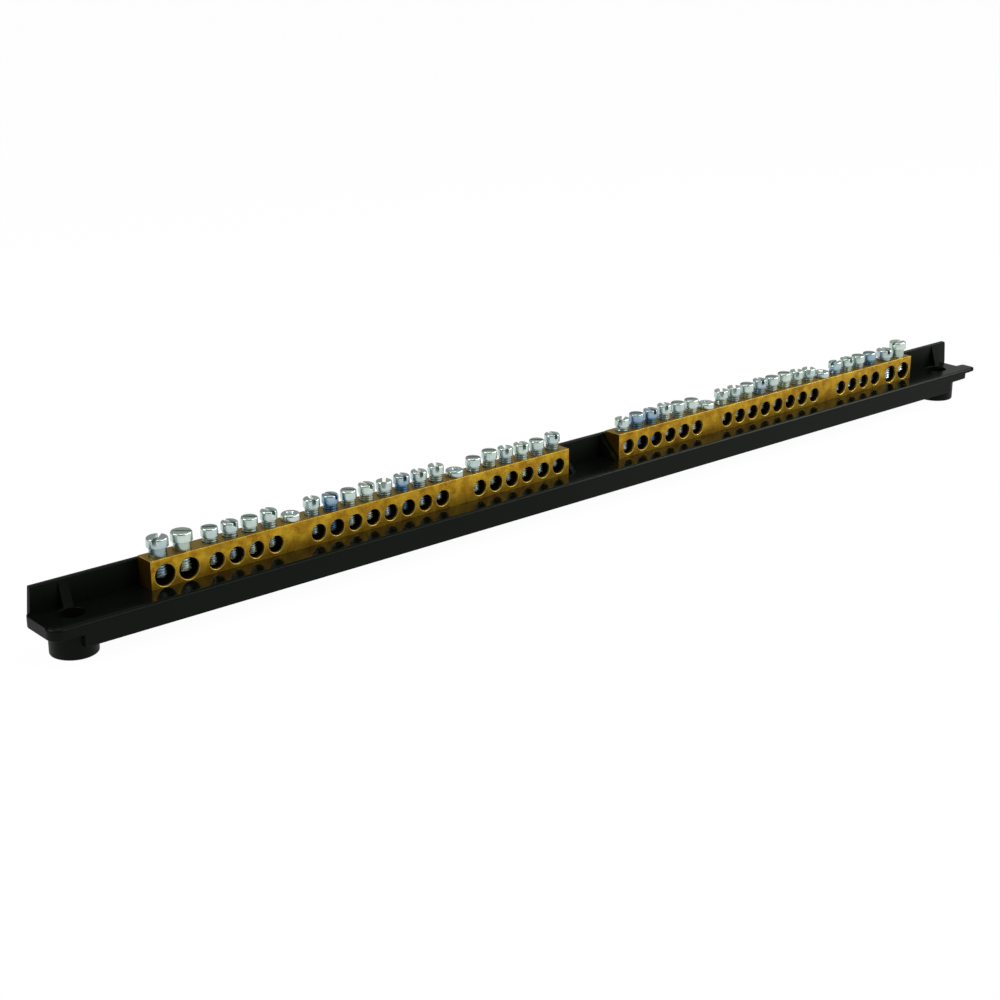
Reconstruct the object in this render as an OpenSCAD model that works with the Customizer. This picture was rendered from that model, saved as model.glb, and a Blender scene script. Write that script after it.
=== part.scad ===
// Neutral and earth terminal bar: two drilled brass bars with clamp screws,
// screwed side by side into a long moulded tray with a mounting boss near each end.
// Millimetres, +Z up, +X along the tray, -Y to the open front.
// The origin lies midway between the two mounting holes, on the plane of the boss feet.

/* [Brass bars] */
// Spacing of neighbouring small cable holes
pitch = 7.5; // [7.2:0.1:9]
// Depth of a bar from front to rear
bar_d = 7.8; // [7:0.1:9]
// Height of a bar
bar_h = 9.6; // [9:0.1:12]
// Small cable holes in the group next to the large ones
outer_ways = 4; // [2:1:8]
// Small cable holes between the two fixing screws
middle_ways = 8; // [2:1:12]
// Small cable holes in the group at the inner end
inner_ways = 6; // [2:1:10]
// Outer end of a bar to the middle of its first large hole
outer_edge = 5.05; // [4.6:0.05:8]
// Inner end of a bar to the middle of its last small hole
inner_edge = 5.05; // [3.8:0.05:8]
// Spacing of the two large cable holes
main_pitch = 8.7; // [8.2:0.1:12]
// Second large hole to the first small hole
main_to_small = 10.2; // [7.5:0.1:14]
// Distance between the small holes on either side of a fixing screw
fixing_span = 16.9; // [13:0.1:22]
// Diameter of a small cable hole
wire_d = 5.7; // [5.2:0.1:6]
// Brass left below a small cable hole
wire_floor = 1.1; // [0.6:0.1:2]
// Diameter of a large cable hole
main_wire_d = 7.3; // [6.4:0.1:7.6]
// Brass left below a large cable hole
main_floor = 0.3; // [0.3:0.1:1]
// Gap between the two bars
bar_gap = 25.6; // [12:0.1:60]

/* [Clamp screws] */
// Head diameter of a small clamp screw
clamp_head_d = 5.7; // [5.2:0.1:6.6]
// Head height of a small clamp screw
clamp_head_h = 3; // [2.4:0.1:4]
// Thread diameter of a small clamp screw
clamp_thread_d = 4.8; // [4:0.1:5]
// Gap under the head of a small clamp screw when it is right down
clamp_gap = 1.8; // [1:0.1:3]
// Head diameter of a large clamp screw
main_head_d = 7.1; // [6.4:0.1:8]
// Head height of a large clamp screw
main_head_h = 3.1; // [2.4:0.1:4]
// Thread diameter of a large clamp screw
main_thread_d = 5.8; // [5:0.1:6]
// Gap under the head of a large clamp screw when it is right down
main_gap = 1.5; // [1:0.1:3]
// Rounding of the upper rim of the heads
rim_r = 0.6; // [0.2:0.1:1]
// Width of the driver slot
slot_w = 1.25; // [0.8:0.05:1.6]
// Depth of the driver slot
slot_deep = 1.6; // [0.8:0.1:2]
// Chamfer at the tip of a clamp screw
tip_chamfer = 1; // [0.4:0.1:1.4]
// Gap between a screw's tip and the bottom of its cable hole
tip_clear = 0.25; // [0.1:0.05:1]
// Gap round a clamp screw in its tapped hole
thread_clear = 0.06; // [0.02:0.01:0.15]

/* [Fixing screws] */
// Head diameter
fixing_head_d = 6.6; // [5.4:0.1:7]
// Head height
fixing_head_h = 2.3; // [1.8:0.1:2.6]
// Rounding of the upper rim
fixing_rim_r = 0.8; // [0.3:0.1:1.2]
// Thread diameter
fixing_thread_d = 3.6; // [3:0.1:4]
// Gap round the screw where it passes through the bar
fixing_clear = 0.2; // [0.1:0.05:0.4]
// Width of the cross recess
recess_w = 1.1; // [0.6:0.1:1.2]
// Span of the cross recess
recess_l = 3.8; // [2.4:0.1:4.4]
// Depth of the cross recess
recess_deep = 1.3; // [0.6:0.1:1.5]

/* [Tray plate] */
// Left end of the tray to the left bar
left_margin = 39; // [31:0.5:80]
// Right end of the tray to the right bar
right_margin = 30.8; // [26:0.1:80]
// Front face of the tray to the front of the bars
front_ledge = 8.95; // [7:0.05:16]
// Thickness of the floor plate
floor_t = 3.8; // [2.8:0.1:6]
// Radius of the front corners seen from above
corner_r = 4; // [3.5:0.5:6]
// Radius of the rear left corner seen from above
rear_r = 3.5; // [1:0.1:3.5]
// Rounding along the upper front edge
edge_r = 1.2; // [0.4:0.1:1.3]
// Depth of the front skirt below the floor plate
skirt_drop = 4.25; // [2:0.05:8]
// Thickness of the front skirt
skirt_t = 2.8; // [1.6:0.1:4]
// Setback of the skirt from the left end of the plate
left_skirt_inset = 10.7; // [6:0.1:20]
// Setback of the skirt from the right end of the plate
right_skirt_inset = 13.2; // [6:0.1:20]

/* [Rear wall] */
// Height of the wall above the floor
wall_h = 8.65; // [5:0.05:14]
// Thickness of the wall
wall_t = 1.9; // [1.6:0.1:4]
// Rounding of the wall's upper edges
wall_r = 0.5; // [0.2:0.1:0.7]
// Gap between the bars and the wall
wall_gap = 0.1; // [0.05:0.05:0.5]
// Setback of the wall from the left end of the plate
wall_setback = 1.5; // [0.8:0.1:3]
// Length of the wall past the right end of the plate
wall_past = 4.7; // [1:0.1:6]
// Lean of the wall's left end over the wall's height
left_draft = 0.8; // [0.2:0.1:1.5]
// Lean of the wall's right end over the wall's height
right_draft = 0.9; // [0.2:0.1:1.5]
// Radius of the wall's upper right corner
wall_corner = 1; // [0.6:0.1:2]
// Thickness of the two gussets between the bars
gusset_t = 1.8; // [1.2:0.1:3]
// Foot of those gussets in front of the wall
gusset_foot = 8.8; // [4:0.1:12]
// Gap between a bar's inner end and its gusset
gusset_gap = 1; // [0.3:0.1:3]
// Thickness of the ribs near the tray's ends
rib_t = 3.3; // [1.6:0.1:5]
// Foot of those ribs in front of the wall
rib_foot = 2.7; // [1:0.1:2.8]
// Left end of the plate to the left rib
left_rib_inset = 11.5; // [3:0.1:20]
// Right end of the plate to the right rib
right_rib_inset = 2.6; // [1:0.1:20]
// Distance of gusset and rib tops below the wall's top
rib_low = 0.5; // [0.2:0.1:2]

/* [Mounting] */
// Diameter of a mounting boss
boss_d = 15.2; // [11:0.1:18]
// Depth of a boss below the floor plate
boss_drop = 8.9; // [6:0.1:16]
// Rounding of a boss's foot
boss_r = 0.5; // [0.2:0.1:1]
// Left end of the plate to the left boss
left_boss_inset = 11.75; // [9:0.05:20]
// Right end of the plate to the right boss
right_boss_inset = 10.75; // [9:0.05:20]
// Distance of the bosses behind the tray's front face
boss_back = 9.9; // [8:0.1:12]
// Diameter of a mounting hole
hole_d = 4.5; // [3.4:0.1:5.5]
// Diameter of the recess for the mounting screw's head
counterbore_d = 8.2; // [7:0.1:9]
// Boss material under the mounting screw's head
seat_t = 4; // [2:0.1:8]
// Diameter of the pillars below the fixing screws
pillar_d = 8; // [6.5:0.1:10]
// Floor of a pillar below its pilot hole
pillar_floor = 1.2; // [0.8:0.1:3]
// Gap between a fixing screw's tip and the end of its pilot hole
pilot_clear = 0.5; // [0.2:0.1:1.5]

/* [End tongue] */
// Thickness of the tongue
lap_t = 1.4; // [1.4:0.1:2.4]
// Length of the tongue past the right end
tongue_l = 4.4; // [4:0.1:8]
// Width of the tongue
tongue_w = 7.1; // [6.5:0.1:9]
// Radius of the tongue's front corner
tongue_r = 2.2; // [2:0.1:4]
// Radius of the tongue's rear corner
tongue_rear_r = 1; // [0.5:0.1:2]

/* [Hidden] */
PIECES = [
    "bar",
    "main_screws",
    "clamp_screws_outer",
    "clamp_screws_middle",
    "clamp_screws_inner",
    "fixing_screws"
];
$fn = 96;

// Places along a bar, from its outer end
main_s = [outer_edge, outer_edge + main_pitch];
outer_s = [for (i = [0:outer_ways - 1]) main_s[1] + main_to_small + i * pitch];
middle_s = [for (i = [0:middle_ways - 1]) outer_s[outer_ways - 1] + fixing_span + i * pitch];
inner_s = [for (i = [0:inner_ways - 1]) middle_s[middle_ways - 1] + fixing_span + i * pitch];
fixing_s = [
    outer_s[outer_ways - 1] + fixing_span / 2,
    middle_s[middle_ways - 1] + fixing_span / 2
];
bar_l = inner_s[inner_ways - 1] + inner_edge;

// Tray, in plan
tray_l = left_margin + bar_l + bar_gap + bar_l + right_margin;
boss_x = (tray_l - left_boss_inset - right_boss_inset) / 2;
x_left = -boss_x - left_boss_inset;
x_right = boss_x + right_boss_inset;
y_front = -boss_back;
y_bar = y_front + front_ledge;
y_screw = y_bar + bar_d / 2;
y_wall = y_bar + bar_d + wall_gap;
y_rear = y_wall + wall_t;

// Tray, in height
z_under = boss_drop;
z_floor = z_under + floor_t;
z_lap = z_floor - lap_t;
z_skirt = z_under - skirt_drop;
z_bar_top = z_floor + bar_h;
z_wall_top = z_floor + wall_h;

// Tapped holes and the length of the clamp screws: a screw that is right down
// stops just above the round bottom of its cable hole
clamp_end = wire_floor + bottom_rise(wire_d, clamp_thread_d) + tip_clear;
main_end = main_floor + bottom_rise(main_wire_d, main_thread_d) + tip_clear;
clamp_l = clamp_gap + bar_h - clamp_end;
main_l = main_gap + bar_h - main_end;
fixing_l = bar_h + floor_t + skirt_drop - pillar_floor - pilot_clear;

// How far each screw is backed out, from the outer end of its bar inwards
neutral_out = [
    [1.5, 1.4],
    [0.1, 0.2, 0, 0.5],
    [0.7, 0.4, 0.3, 0.7, 0.2, 0.5, 0.4, 0.9],
    [0.1, 1.1, 0.7, 0.5, 0.4, 1.2]
];
earth_out = [
    [2, 0],
    [0.2, 0.3, 0.4, 0.2],
    [0.3, 0.7, 1.1, 0.9, 1.1, 0.7, 0.8, 0.8],
    [0.3, 0.5, 1.1, 0.6, 0.5, 0]
];

// Direction of each driver slot, in degrees from +X
neutral_turn = [
    [44, -40],
    [-30, -82, -40, -85],
    [74, -72, -45, -86, 50, 79, 72, 64],
    [-40, -38, 62, 76, -43, 82]
];
earth_turn = [
    [8, 70],
    [-40, -45, 82, 15],
    [41, 48, -40, -35, 72, -40, 47, 48],
    [-40, -30, 64, 86, -40, 33]
];

// Height above the lowest point of a round hole at which a screw of diameter d meets its side
function bottom_rise(hole, d) = hole / 2 - sqrt(pow(hole / 2, 2) - pow(min(d, hole) / 2, 2));

// Place along X of a distance s from the outer end of the left (-1) or right (1) bar
function place(side, s) = side < 0 ? x_left + left_margin + s : x_right - right_margin - s;

// Section of the rear wall with a rounded upper rim
module wall_profile() {
    tall = z_wall_top - z_under;
    square([wall_t, tall - wall_r]);
    translate([wall_r, 0]) square([wall_t - 2 * wall_r, tall]);
    for (y = [wall_r, wall_t - wall_r]) translate([y, tall - wall_r]) circle(r = wall_r);
}

// Plan of the lower plate layer, with two rounded front corners and a rounded rear left corner
module plate_plan() {
    deep = y_rear - y_front;
    translate([x_left, y_front + corner_r]) square([tray_l, deep - corner_r - rear_r]);
    translate([x_left + rear_r, y_front + corner_r]) square([tray_l - rear_r, deep - corner_r]);
    translate([x_left + corner_r, y_front]) square([tray_l - 2 * corner_r, deep]);
    for (x = [x_left + corner_r, x_right - corner_r])
        translate([x, y_front + corner_r]) circle(r = corner_r);
    translate([x_left + rear_r, y_rear - rear_r]) circle(r = rear_r);
}

// Bead along X whose outer upper quarter rounds the front edge
module front_bead(x, l) {
    translate([x, y_front + edge_r, z_floor - edge_r]) rotate([0, 90, 0]) cylinder(r = edge_r, h = l);
}

// Thin tongue level with the floor, past the right end
module tongue() {
    x_start = x_right - corner_r;
    x_end = x_right + tongue_l;
    x_turn = x_end - tongue_r;
    y_back = y_front + tongue_w;
    difference() {
        front_bead(x_start, x_turn - x_start);
        translate([x_start - 1, y_front - 1, z_lap - 5]) cube([x_turn - x_start + 2, 2 * edge_r + 2, 5]);
    }
    translate([x_start, y_front, z_lap]) cube([x_turn - x_start, tongue_w - 1, lap_t - edge_r]);
    translate([x_start, y_front + edge_r, z_lap]) cube([x_turn - x_start, tongue_w - edge_r, lap_t]);
    intersection() {
        translate([x_turn, y_front + tongue_r, z_lap]) cylinder(r = tongue_r, h = lap_t);
        translate([x_turn, y_front - 1, z_lap - 1]) cube([tongue_r + 1, tongue_r + 1, lap_t + 2]);
    }
    translate([x_turn, y_front + tongue_r, z_lap])
        cube([tongue_r, tongue_w - tongue_r - tongue_rear_r, lap_t]);
    translate([x_turn, y_front + tongue_r, z_lap])
        cube([tongue_r - tongue_rear_r, tongue_w - tongue_r, lap_t]);
    translate([x_end - tongue_rear_r, y_back - tongue_rear_r, z_lap]) cylinder(r = tongue_rear_r, h = lap_t);
}

// Floor plate with its rounded front edge
module plate() {
    deep = y_rear - y_front;
    translate([0, 0, z_under]) linear_extrude(floor_t - edge_r) plate_plan();
    translate([x_left + corner_r, y_front + edge_r, z_under])
        cube([tray_l - 2 * corner_r, deep - edge_r, floor_t]);
    translate([x_left, y_front + corner_r, z_under]) cube([tray_l, deep - corner_r - rear_r, floor_t]);
    translate([x_left + rear_r, y_front + corner_r, z_under])
        cube([tray_l - rear_r, deep - corner_r, floor_t]);
    translate([x_left + rear_r, y_rear - rear_r, z_under]) cylinder(r = rear_r, h = floor_t);
    translate([x_left + corner_r, y_front + corner_r, z_under])
        cylinder(r = corner_r - edge_r, h = floor_t);
    translate([x_left + corner_r, y_front + corner_r, z_floor - edge_r])
        rotate_extrude() translate([corner_r - edge_r, 0]) circle(r = edge_r);
    front_bead(x_left + corner_r, tray_l - 2 * corner_r);
}

// Rear wall with leaning ends, its upper right corner rounded
module rear_wall() {
    x_a = x_left + wall_setback;
    x_b = x_right + wall_past;
    lean = right_draft / wall_h;
    along = sqrt(1 + lean * lean);
    z_turn = z_wall_top - wall_corner;
    x_turn = x_b - lean * (z_turn - z_floor) - wall_corner * along;
    intersection() {
        translate([x_a, y_wall, z_under])
            rotate([90, 0, 90]) linear_extrude(x_b - x_a) wall_profile();
        translate([0, y_rear + 1, 0]) rotate([90, 0, 0]) linear_extrude(wall_t + 2) {
            polygon([
                [x_a, z_under - 1],
                [x_b, z_under - 1],
                [x_b, z_floor],
                [x_turn + wall_corner / along, z_turn + wall_corner * lean / along],
                [x_turn, z_turn],
                [x_turn, z_wall_top + 1],
                [x_a + left_draft * (1 + 1 / wall_h), z_wall_top + 1],
                [x_a, z_floor]
            ]);
            translate([x_turn, z_turn]) circle(r = wall_corner);
        }
    }
}

// Triangular gusset from the wall down to the floor, starting at x
module gusset(x, t, foot) {
    top = z_wall_top - rib_low;
    translate([x, 0, 0]) rotate([90, 0, 90]) linear_extrude(t) polygon([
        [y_wall - foot, z_floor - 0.5],
        [y_wall + wall_t / 2, z_floor - 0.5],
        [y_wall + wall_t / 2, top],
        [y_wall, top],
        [y_wall - foot, z_floor]
    ]);
}

// Mounting boss with a rounded foot
module boss() {
    translate([0, 0, boss_r]) cylinder(d = boss_d, h = z_under - boss_r + 1);
    cylinder(d = boss_d - 2 * boss_r, h = z_under);
    translate([0, 0, boss_r]) rotate_extrude() translate([boss_d / 2 - boss_r, 0]) circle(r = boss_r);
}

// The moulded tray
module tray() color([0.09, 0.1, 0.09]) difference() {
    union() {
        plate();
        tongue();
        rear_wall();
        translate([x_left + left_skirt_inset, y_front, z_skirt])
            cube([tray_l - left_skirt_inset - right_skirt_inset, skirt_t, skirt_drop + floor_t / 2]);
        for (s = [-1, 1]) translate([s * boss_x, 0, 0]) boss();
        for (side = [-1, 1], s = fixing_s)
            translate([place(side, s), y_screw, z_skirt]) cylinder(d = pillar_d, h = skirt_drop + 1);
        gusset(place(-1, bar_l) + gusset_gap, gusset_t, gusset_foot);
        gusset(place(1, bar_l) - gusset_gap - gusset_t, gusset_t, gusset_foot);
        gusset(x_left + left_rib_inset, rib_t, rib_foot);
        gusset(x_right - right_rib_inset - rib_t, rib_t, rib_foot);
    }
    for (s = [-1, 1]) translate([s * boss_x, 0, 0]) {
        translate([0, 0, -1]) cylinder(d = hole_d, h = z_floor);
        translate([0, 0, seat_t]) cylinder(d = counterbore_d, h = z_floor);
    }
    for (side = [-1, 1], s = fixing_s)
        translate([place(side, s), y_screw, z_skirt + pillar_floor])
            cylinder(d = fixing_thread_d + 2 * thread_clear, h = z_floor);
}

// One drilled bar, its outer end at x = 0, running to +X
module bar_blank() {
    z_wire = wire_floor + wire_d / 2;
    z_main = main_floor + main_wire_d / 2;
    difference() {
        cube([bar_l, bar_d, bar_h]);
        for (s = concat(outer_s, middle_s, inner_s)) {
            translate([s, -1, z_wire]) rotate([-90, 0, 0]) cylinder(d = wire_d, h = bar_d + 2);
            translate([s, bar_d / 2, z_wire]) cylinder(d = clamp_thread_d + 2 * thread_clear, h = bar_h);
        }
        for (s = main_s) {
            translate([s, -1, z_main]) rotate([-90, 0, 0]) cylinder(d = main_wire_d, h = bar_d + 2);
            translate([s, bar_d / 2, z_main]) cylinder(d = main_thread_d + 2 * thread_clear, h = bar_h);
        }
        for (s = fixing_s)
            translate([s, bar_d / 2, -1]) cylinder(d = fixing_thread_d + 2 * fixing_clear, h = bar_h + 2);
    }
}

module bar(side) color([0.78, 0.6, 0.2])
    translate([place(side, 0), y_bar, z_floor]) mirror([side < 0 ? 0 : 1, 0, 0]) bar_blank();

// Round screw head on z = 0 with a rounded upper rim
module round_head(d, h, r) {
    cylinder(d = d, h = h - r);
    cylinder(d = d - 2 * r, h = h);
    translate([0, 0, h - r]) rotate_extrude() translate([d / 2 - r, 0]) circle(r = r);
}

// Clamp screw, the underside of its head at z = 0
module clamp_screw(head_d, head_h, thread_d, l, turn) {
    difference() {
        round_head(head_d, head_h, rim_r);
        rotate([0, 0, turn]) translate([-head_d, -slot_w / 2, head_h - slot_deep])
            cube([2 * head_d, slot_w, slot_deep + 1]);
    }
    translate([0, 0, -l]) cylinder(d = thread_d, h = l + 0.1);
    translate([0, 0, -l - tip_chamfer])
        cylinder(d1 = thread_d - 2 * tip_chamfer, d2 = thread_d, h = tip_chamfer);
}

// A group of small clamp screws on one bar
module clamp_screws(side, group, places) color([0.66, 0.69, 0.66]) {
    out = (side < 0 ? neutral_out : earth_out)[group];
    turn = (side < 0 ? neutral_turn : earth_turn)[group];
    for (i = [0:len(places) - 1])
        translate([place(side, places[i]), y_screw, z_bar_top + clamp_gap + out[i % len(out)]])
            clamp_screw(clamp_head_d, clamp_head_h, clamp_thread_d, clamp_l, turn[i % len(turn)]);
}

// The two large clamp screws of one bar
module main_screws(side) color([0.66, 0.69, 0.66]) {
    out = (side < 0 ? neutral_out : earth_out)[0];
    turn = (side < 0 ? neutral_turn : earth_turn)[0];
    for (i = [0, 1])
        translate([place(side, main_s[i]), y_screw, z_bar_top + main_gap + out[i]])
            clamp_screw(main_head_d, main_head_h, main_thread_d, main_l, turn[i]);
}

// Pan-head screw with a cross recess, the underside of its head at z = 0
module fixing_screw() {
    difference() {
        round_head(fixing_head_d, fixing_head_h, fixing_rim_r);
        for (a = [0, 90]) rotate([0, 0, a])
            translate([-recess_l / 2, -recess_w / 2, fixing_head_h - recess_deep])
                cube([recess_l, recess_w, recess_deep + 1]);
    }
    translate([0, 0, -fixing_l]) cylinder(d = fixing_thread_d, h = fixing_l + 0.1);
}

// The two screws that hold one bar in the tray
module fixing_screws(side) color([0.6, 0.63, 0.6])
    for (s = fixing_s) translate([place(side, s), y_screw, z_bar_top]) fixing_screw();

tray();
bar(-1);  // neutral_bar
main_screws(-1);  // neutral_main_screws
clamp_screws(-1, 1, outer_s);  // neutral_clamp_screws_outer
clamp_screws(-1, 2, middle_s);  // neutral_clamp_screws_middle
clamp_screws(-1, 3, inner_s);  // neutral_clamp_screws_inner
fixing_screws(-1);  // neutral_fixing_screws
bar(1);  // earth_bar
main_screws(1);  // earth_main_screws
clamp_screws(1, 1, outer_s);  // earth_clamp_screws_outer
clamp_screws(1, 2, middle_s);  // earth_clamp_screws_middle
clamp_screws(1, 3, inner_s);  // earth_clamp_screws_inner
fixing_screws(1);  // earth_fixing_screws
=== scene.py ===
"""Neutral and earth terminal bar: a black moulded tray, two drilled brass bars and their plated screws."""

import math

import bmesh
import bpy
from bpy.props import FloatProperty, FloatVectorProperty, IntProperty, PointerProperty
from mathutils import Matrix, Vector


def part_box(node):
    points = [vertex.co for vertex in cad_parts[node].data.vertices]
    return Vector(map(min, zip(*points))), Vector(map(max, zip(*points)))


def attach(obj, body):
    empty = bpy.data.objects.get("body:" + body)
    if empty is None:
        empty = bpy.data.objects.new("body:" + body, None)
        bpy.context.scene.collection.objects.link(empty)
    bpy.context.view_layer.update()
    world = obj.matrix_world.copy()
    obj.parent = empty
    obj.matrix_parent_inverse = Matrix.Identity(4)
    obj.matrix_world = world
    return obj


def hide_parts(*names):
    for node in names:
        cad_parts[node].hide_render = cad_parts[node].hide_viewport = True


bl_info = {
    "name": "Terminal bar dressing",
    "version": (1, 0, 0),
    "blender": (4, 5, 0),
    "location": "3D View > Sidebar > Terminal bar",
    "description": "Gives the terminal bar its moulded tray, brass bars, threaded screws and studio",
    "category": "Object",
}

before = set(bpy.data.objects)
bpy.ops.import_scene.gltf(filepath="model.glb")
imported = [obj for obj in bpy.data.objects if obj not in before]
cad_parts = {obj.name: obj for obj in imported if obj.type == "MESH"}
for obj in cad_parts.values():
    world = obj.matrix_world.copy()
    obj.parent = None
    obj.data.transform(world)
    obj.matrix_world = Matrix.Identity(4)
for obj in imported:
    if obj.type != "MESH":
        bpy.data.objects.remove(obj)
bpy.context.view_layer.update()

MM = 0.001
# Points closer than this are one point.
WELD = 0.0005 * MM
# A point closer than this to a plane lies in it.
FLUSH = 0.01 * MM
# Parts of a screw run into each other by this much, so that no gap shows between them.
OVERLAP = 0.1 * MM
# An edge of a solid is sharp where its faces turn by more than this, in degrees.
SHARP = 35
# Share of painted shade in a driver's slot or recess, and on a clamp screw's neck.
SLOT_SHADE = 0.4
NECK_SHADE = 0.5

# Directions of the slots and recesses in degrees from +X, from left to right along each group.
CLAMP_TURNS = {
    "neutral_main_screws": [44, -40],
    "neutral_clamp_screws_outer": [-30, -82, -40, -85],
    "neutral_clamp_screws_middle": [74, -72, -45, -86, 50, 79, 72, 64],
    "neutral_clamp_screws_inner": [-40, -38, 62, 76, -43, 82],
    "earth_clamp_screws_inner": [33, -40, 86, 64, -30, -40],
    "earth_clamp_screws_middle": [48, 47, -40, 72, -35, -40, 48, 41],
    "earth_clamp_screws_outer": [15, 82, -45, -40],
    "earth_main_screws": [70, 8],
}
FIXING_TURNS = {
    "neutral_fixing_screws": [20, 65],
    "earth_fixing_screws": [40, 5],
}
# Shades of the plating from 0, green-grey, to 1, blue, in the same order.
PLATING = {
    "neutral_main_screws": [0.45, 0.1],
    "neutral_clamp_screws_outer": [0.25, 0.3, 0.15, 0.2],
    "neutral_clamp_screws_middle": [0.3, 0.9, 0.2, 0.1, 0.25, 0.8, 0.3, 0.15],
    "neutral_clamp_screws_inner": [0.2, 0.25, 0.3, 0.1, 0.2, 0.35],
    "neutral_fixing_screws": [0.1, 0.2],
    "earth_clamp_screws_inner": [0.2, 0.9, 0.85, 0.2, 0.3, 0.1],
    "earth_clamp_screws_middle": [0.2, 0.3, 0.15, 0.6, 0.2, 0.05, 0.25, 0.3],
    "earth_clamp_screws_outer": [0.5, 0.2, 0.25, 0.8],
    "earth_main_screws": [0.3, 0.1],
    "earth_fixing_screws": [0.1, 0.2],
}

# The camera's place in metres, its angles in degrees, and its lens and sensor in millimetres.
CAMERA_PLACE = (-0.4482, -0.47541, 0.23089)
CAMERA_DIP = 19.489
CAMERA_HEADING = -40.53
CAMERA_LENS = 66.66
CAMERA_SENSOR = 36
# Each soft lamp's place and size in metres and its power in watts. All of them face the origin.
LAMPS = {
    "key_softbox": ((0.68, -0.23, 0.54), (0.4, 0.3), 3.0),
    "front_softbox": ((0.24, -0.66, 0.64), (0.35, 0.35), 2.2),
    "left_softbox": ((-0.61, 0.17, 0.47), (0.3, 0.3), 1.7),
    "top_softbox": ((-0.1, 0.05, 1.2), (0.8, 0.6), 3.0),
}
# Each card's two edges as reach and height in metres, its span in degrees from +X and its tone.
CARDS = {
    "ceiling_card": ((0, 1.3), (0.9, 1.3), (0, 360), "#95968F"),
    "left_card": ((0.9, 0), (0.9, 1.3), (130, 275), "#90918E"),
    "white_card": ((0.9, 0), (0.9, 1.3), (275, 350), "#EBECE8"),
    "right_card": ((0.9, 0), (0.9, 1.3), (-10, 60), "#B1B2AF"),
    "back_card": ((0.9, 0), (0.9, 1.3), (60, 130), "#9FA09D"),
    "camera_card": ((0.68, 0.12), (0.68, 0.36), (216, 238), "#2A2B2A"),
}
CARD_STEPS = 24
FLOOR_REACH = 6


def linear(code):
    """Turns an sRGB hex colour into linear red, green and blue."""
    parts = [int(code[i : i + 2], 16) / 255 for i in (1, 3, 5)]
    return tuple(c / 12.92 if c <= 0.04045 else ((c + 0.055) / 1.055) ** 2.4 for c in parts)


class TERMINALBAR_PG_sizes(bpy.types.PropertyGroup):
    """Sizes of the detail that the dressing adds to the solids"""

    brass_ease: FloatProperty(
        name="Brass edge",
        description="Width of the eased edges of the brass",
        default=0.2 * MM,
        unit="LENGTH",
    )
    hole_ease: FloatProperty(
        name="Hole edge",
        description="Width of the broken edges of the drilled holes",
        default=0.22 * MM,
        unit="LENGTH",
    )
    tray_ease: FloatProperty(
        name="Tray edge",
        description="Width of the softened edges of the moulding",
        default=0.2 * MM,
        unit="LENGTH",
    )
    clamp_head: FloatProperty(
        name="Small head height",
        description="Head height of a small clamp screw",
        default=3.0 * MM,
        unit="LENGTH",
    )
    main_head: FloatProperty(
        name="Large head height",
        description="Head height of a large clamp screw",
        default=3.1 * MM,
        unit="LENGTH",
    )
    clamp_thread: FloatProperty(
        name="Small thread",
        description="Diameter of a small clamp screw's thread",
        default=4.8 * MM,
        unit="LENGTH",
    )
    main_thread: FloatProperty(
        name="Large thread",
        description="Diameter of a large clamp screw's thread",
        default=5.8 * MM,
        unit="LENGTH",
    )
    clamp_pitch: FloatProperty(
        name="Small thread pitch",
        description="Rise of a small thread in a turn",
        default=0.8 * MM,
        unit="LENGTH",
    )
    main_pitch: FloatProperty(
        name="Large thread pitch",
        description="Rise of a large thread in a turn",
        default=1.0 * MM,
        unit="LENGTH",
    )
    clamp_ring: FloatProperty(
        name="Small neck rings",
        description="Depth of the rings on a small clamp screw's neck",
        default=0.16 * MM,
        unit="LENGTH",
    )
    main_ring: FloatProperty(
        name="Large neck rings",
        description="Depth of the rings on a large clamp screw's neck",
        default=0.1 * MM,
        unit="LENGTH",
    )
    clamp_rim: FloatProperty(
        name="Clamp head rim",
        description="Width of the rounded upper rim of a clamp screw's head",
        default=0.6 * MM,
        unit="LENGTH",
    )
    slot_width: FloatProperty(
        name="Slot width",
        description="Width of the driver slot",
        default=1.25 * MM,
        unit="LENGTH",
    )
    slot_depth: FloatProperty(
        name="Slot depth",
        description="Depth of the driver slot",
        default=1.6 * MM,
        unit="LENGTH",
    )
    slot_ease: FloatProperty(
        name="Slot edge",
        description="Width of the rounded edges of the driver slot",
        default=0.12 * MM,
        unit="LENGTH",
    )
    fixing_head: FloatProperty(
        name="Fixing head height",
        description="Head height of a fixing screw",
        default=2.3 * MM,
        unit="LENGTH",
    )
    fixing_rim: FloatProperty(
        name="Fixing head rim",
        description="Width of the rounded upper rim of a fixing screw's head",
        default=0.8 * MM,
        unit="LENGTH",
    )
    fixing_thread: FloatProperty(
        name="Fixing thread",
        description="Diameter of a fixing screw's thread",
        default=3.6 * MM,
        unit="LENGTH",
    )
    fixing_pitch: FloatProperty(
        name="Fixing thread pitch",
        description="Rise of a fixing screw's thread in a turn",
        default=0.9 * MM,
        unit="LENGTH",
    )
    recess_span: FloatProperty(
        name="Recess span",
        description="Length of the cross recess from tip to tip",
        default=3.8 * MM,
        unit="LENGTH",
    )
    recess_wing: FloatProperty(
        name="Recess wing",
        description="Width of the wings of the cross recess",
        default=1.2 * MM,
        unit="LENGTH",
    )
    recess_hub: FloatProperty(
        name="Recess hub",
        description="Width of the middle of the cross recess",
        default=2.0 * MM,
        unit="LENGTH",
    )
    recess_ease: FloatProperty(
        name="Recess edge",
        description="Width of the rounded edges of the cross recess",
        default=0.07 * MM,
        unit="LENGTH",
    )
    round_steps: IntProperty(
        name="Round steps",
        description="Sides of a screw's round outline",
        default=40,
        min=16,
    )


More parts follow.
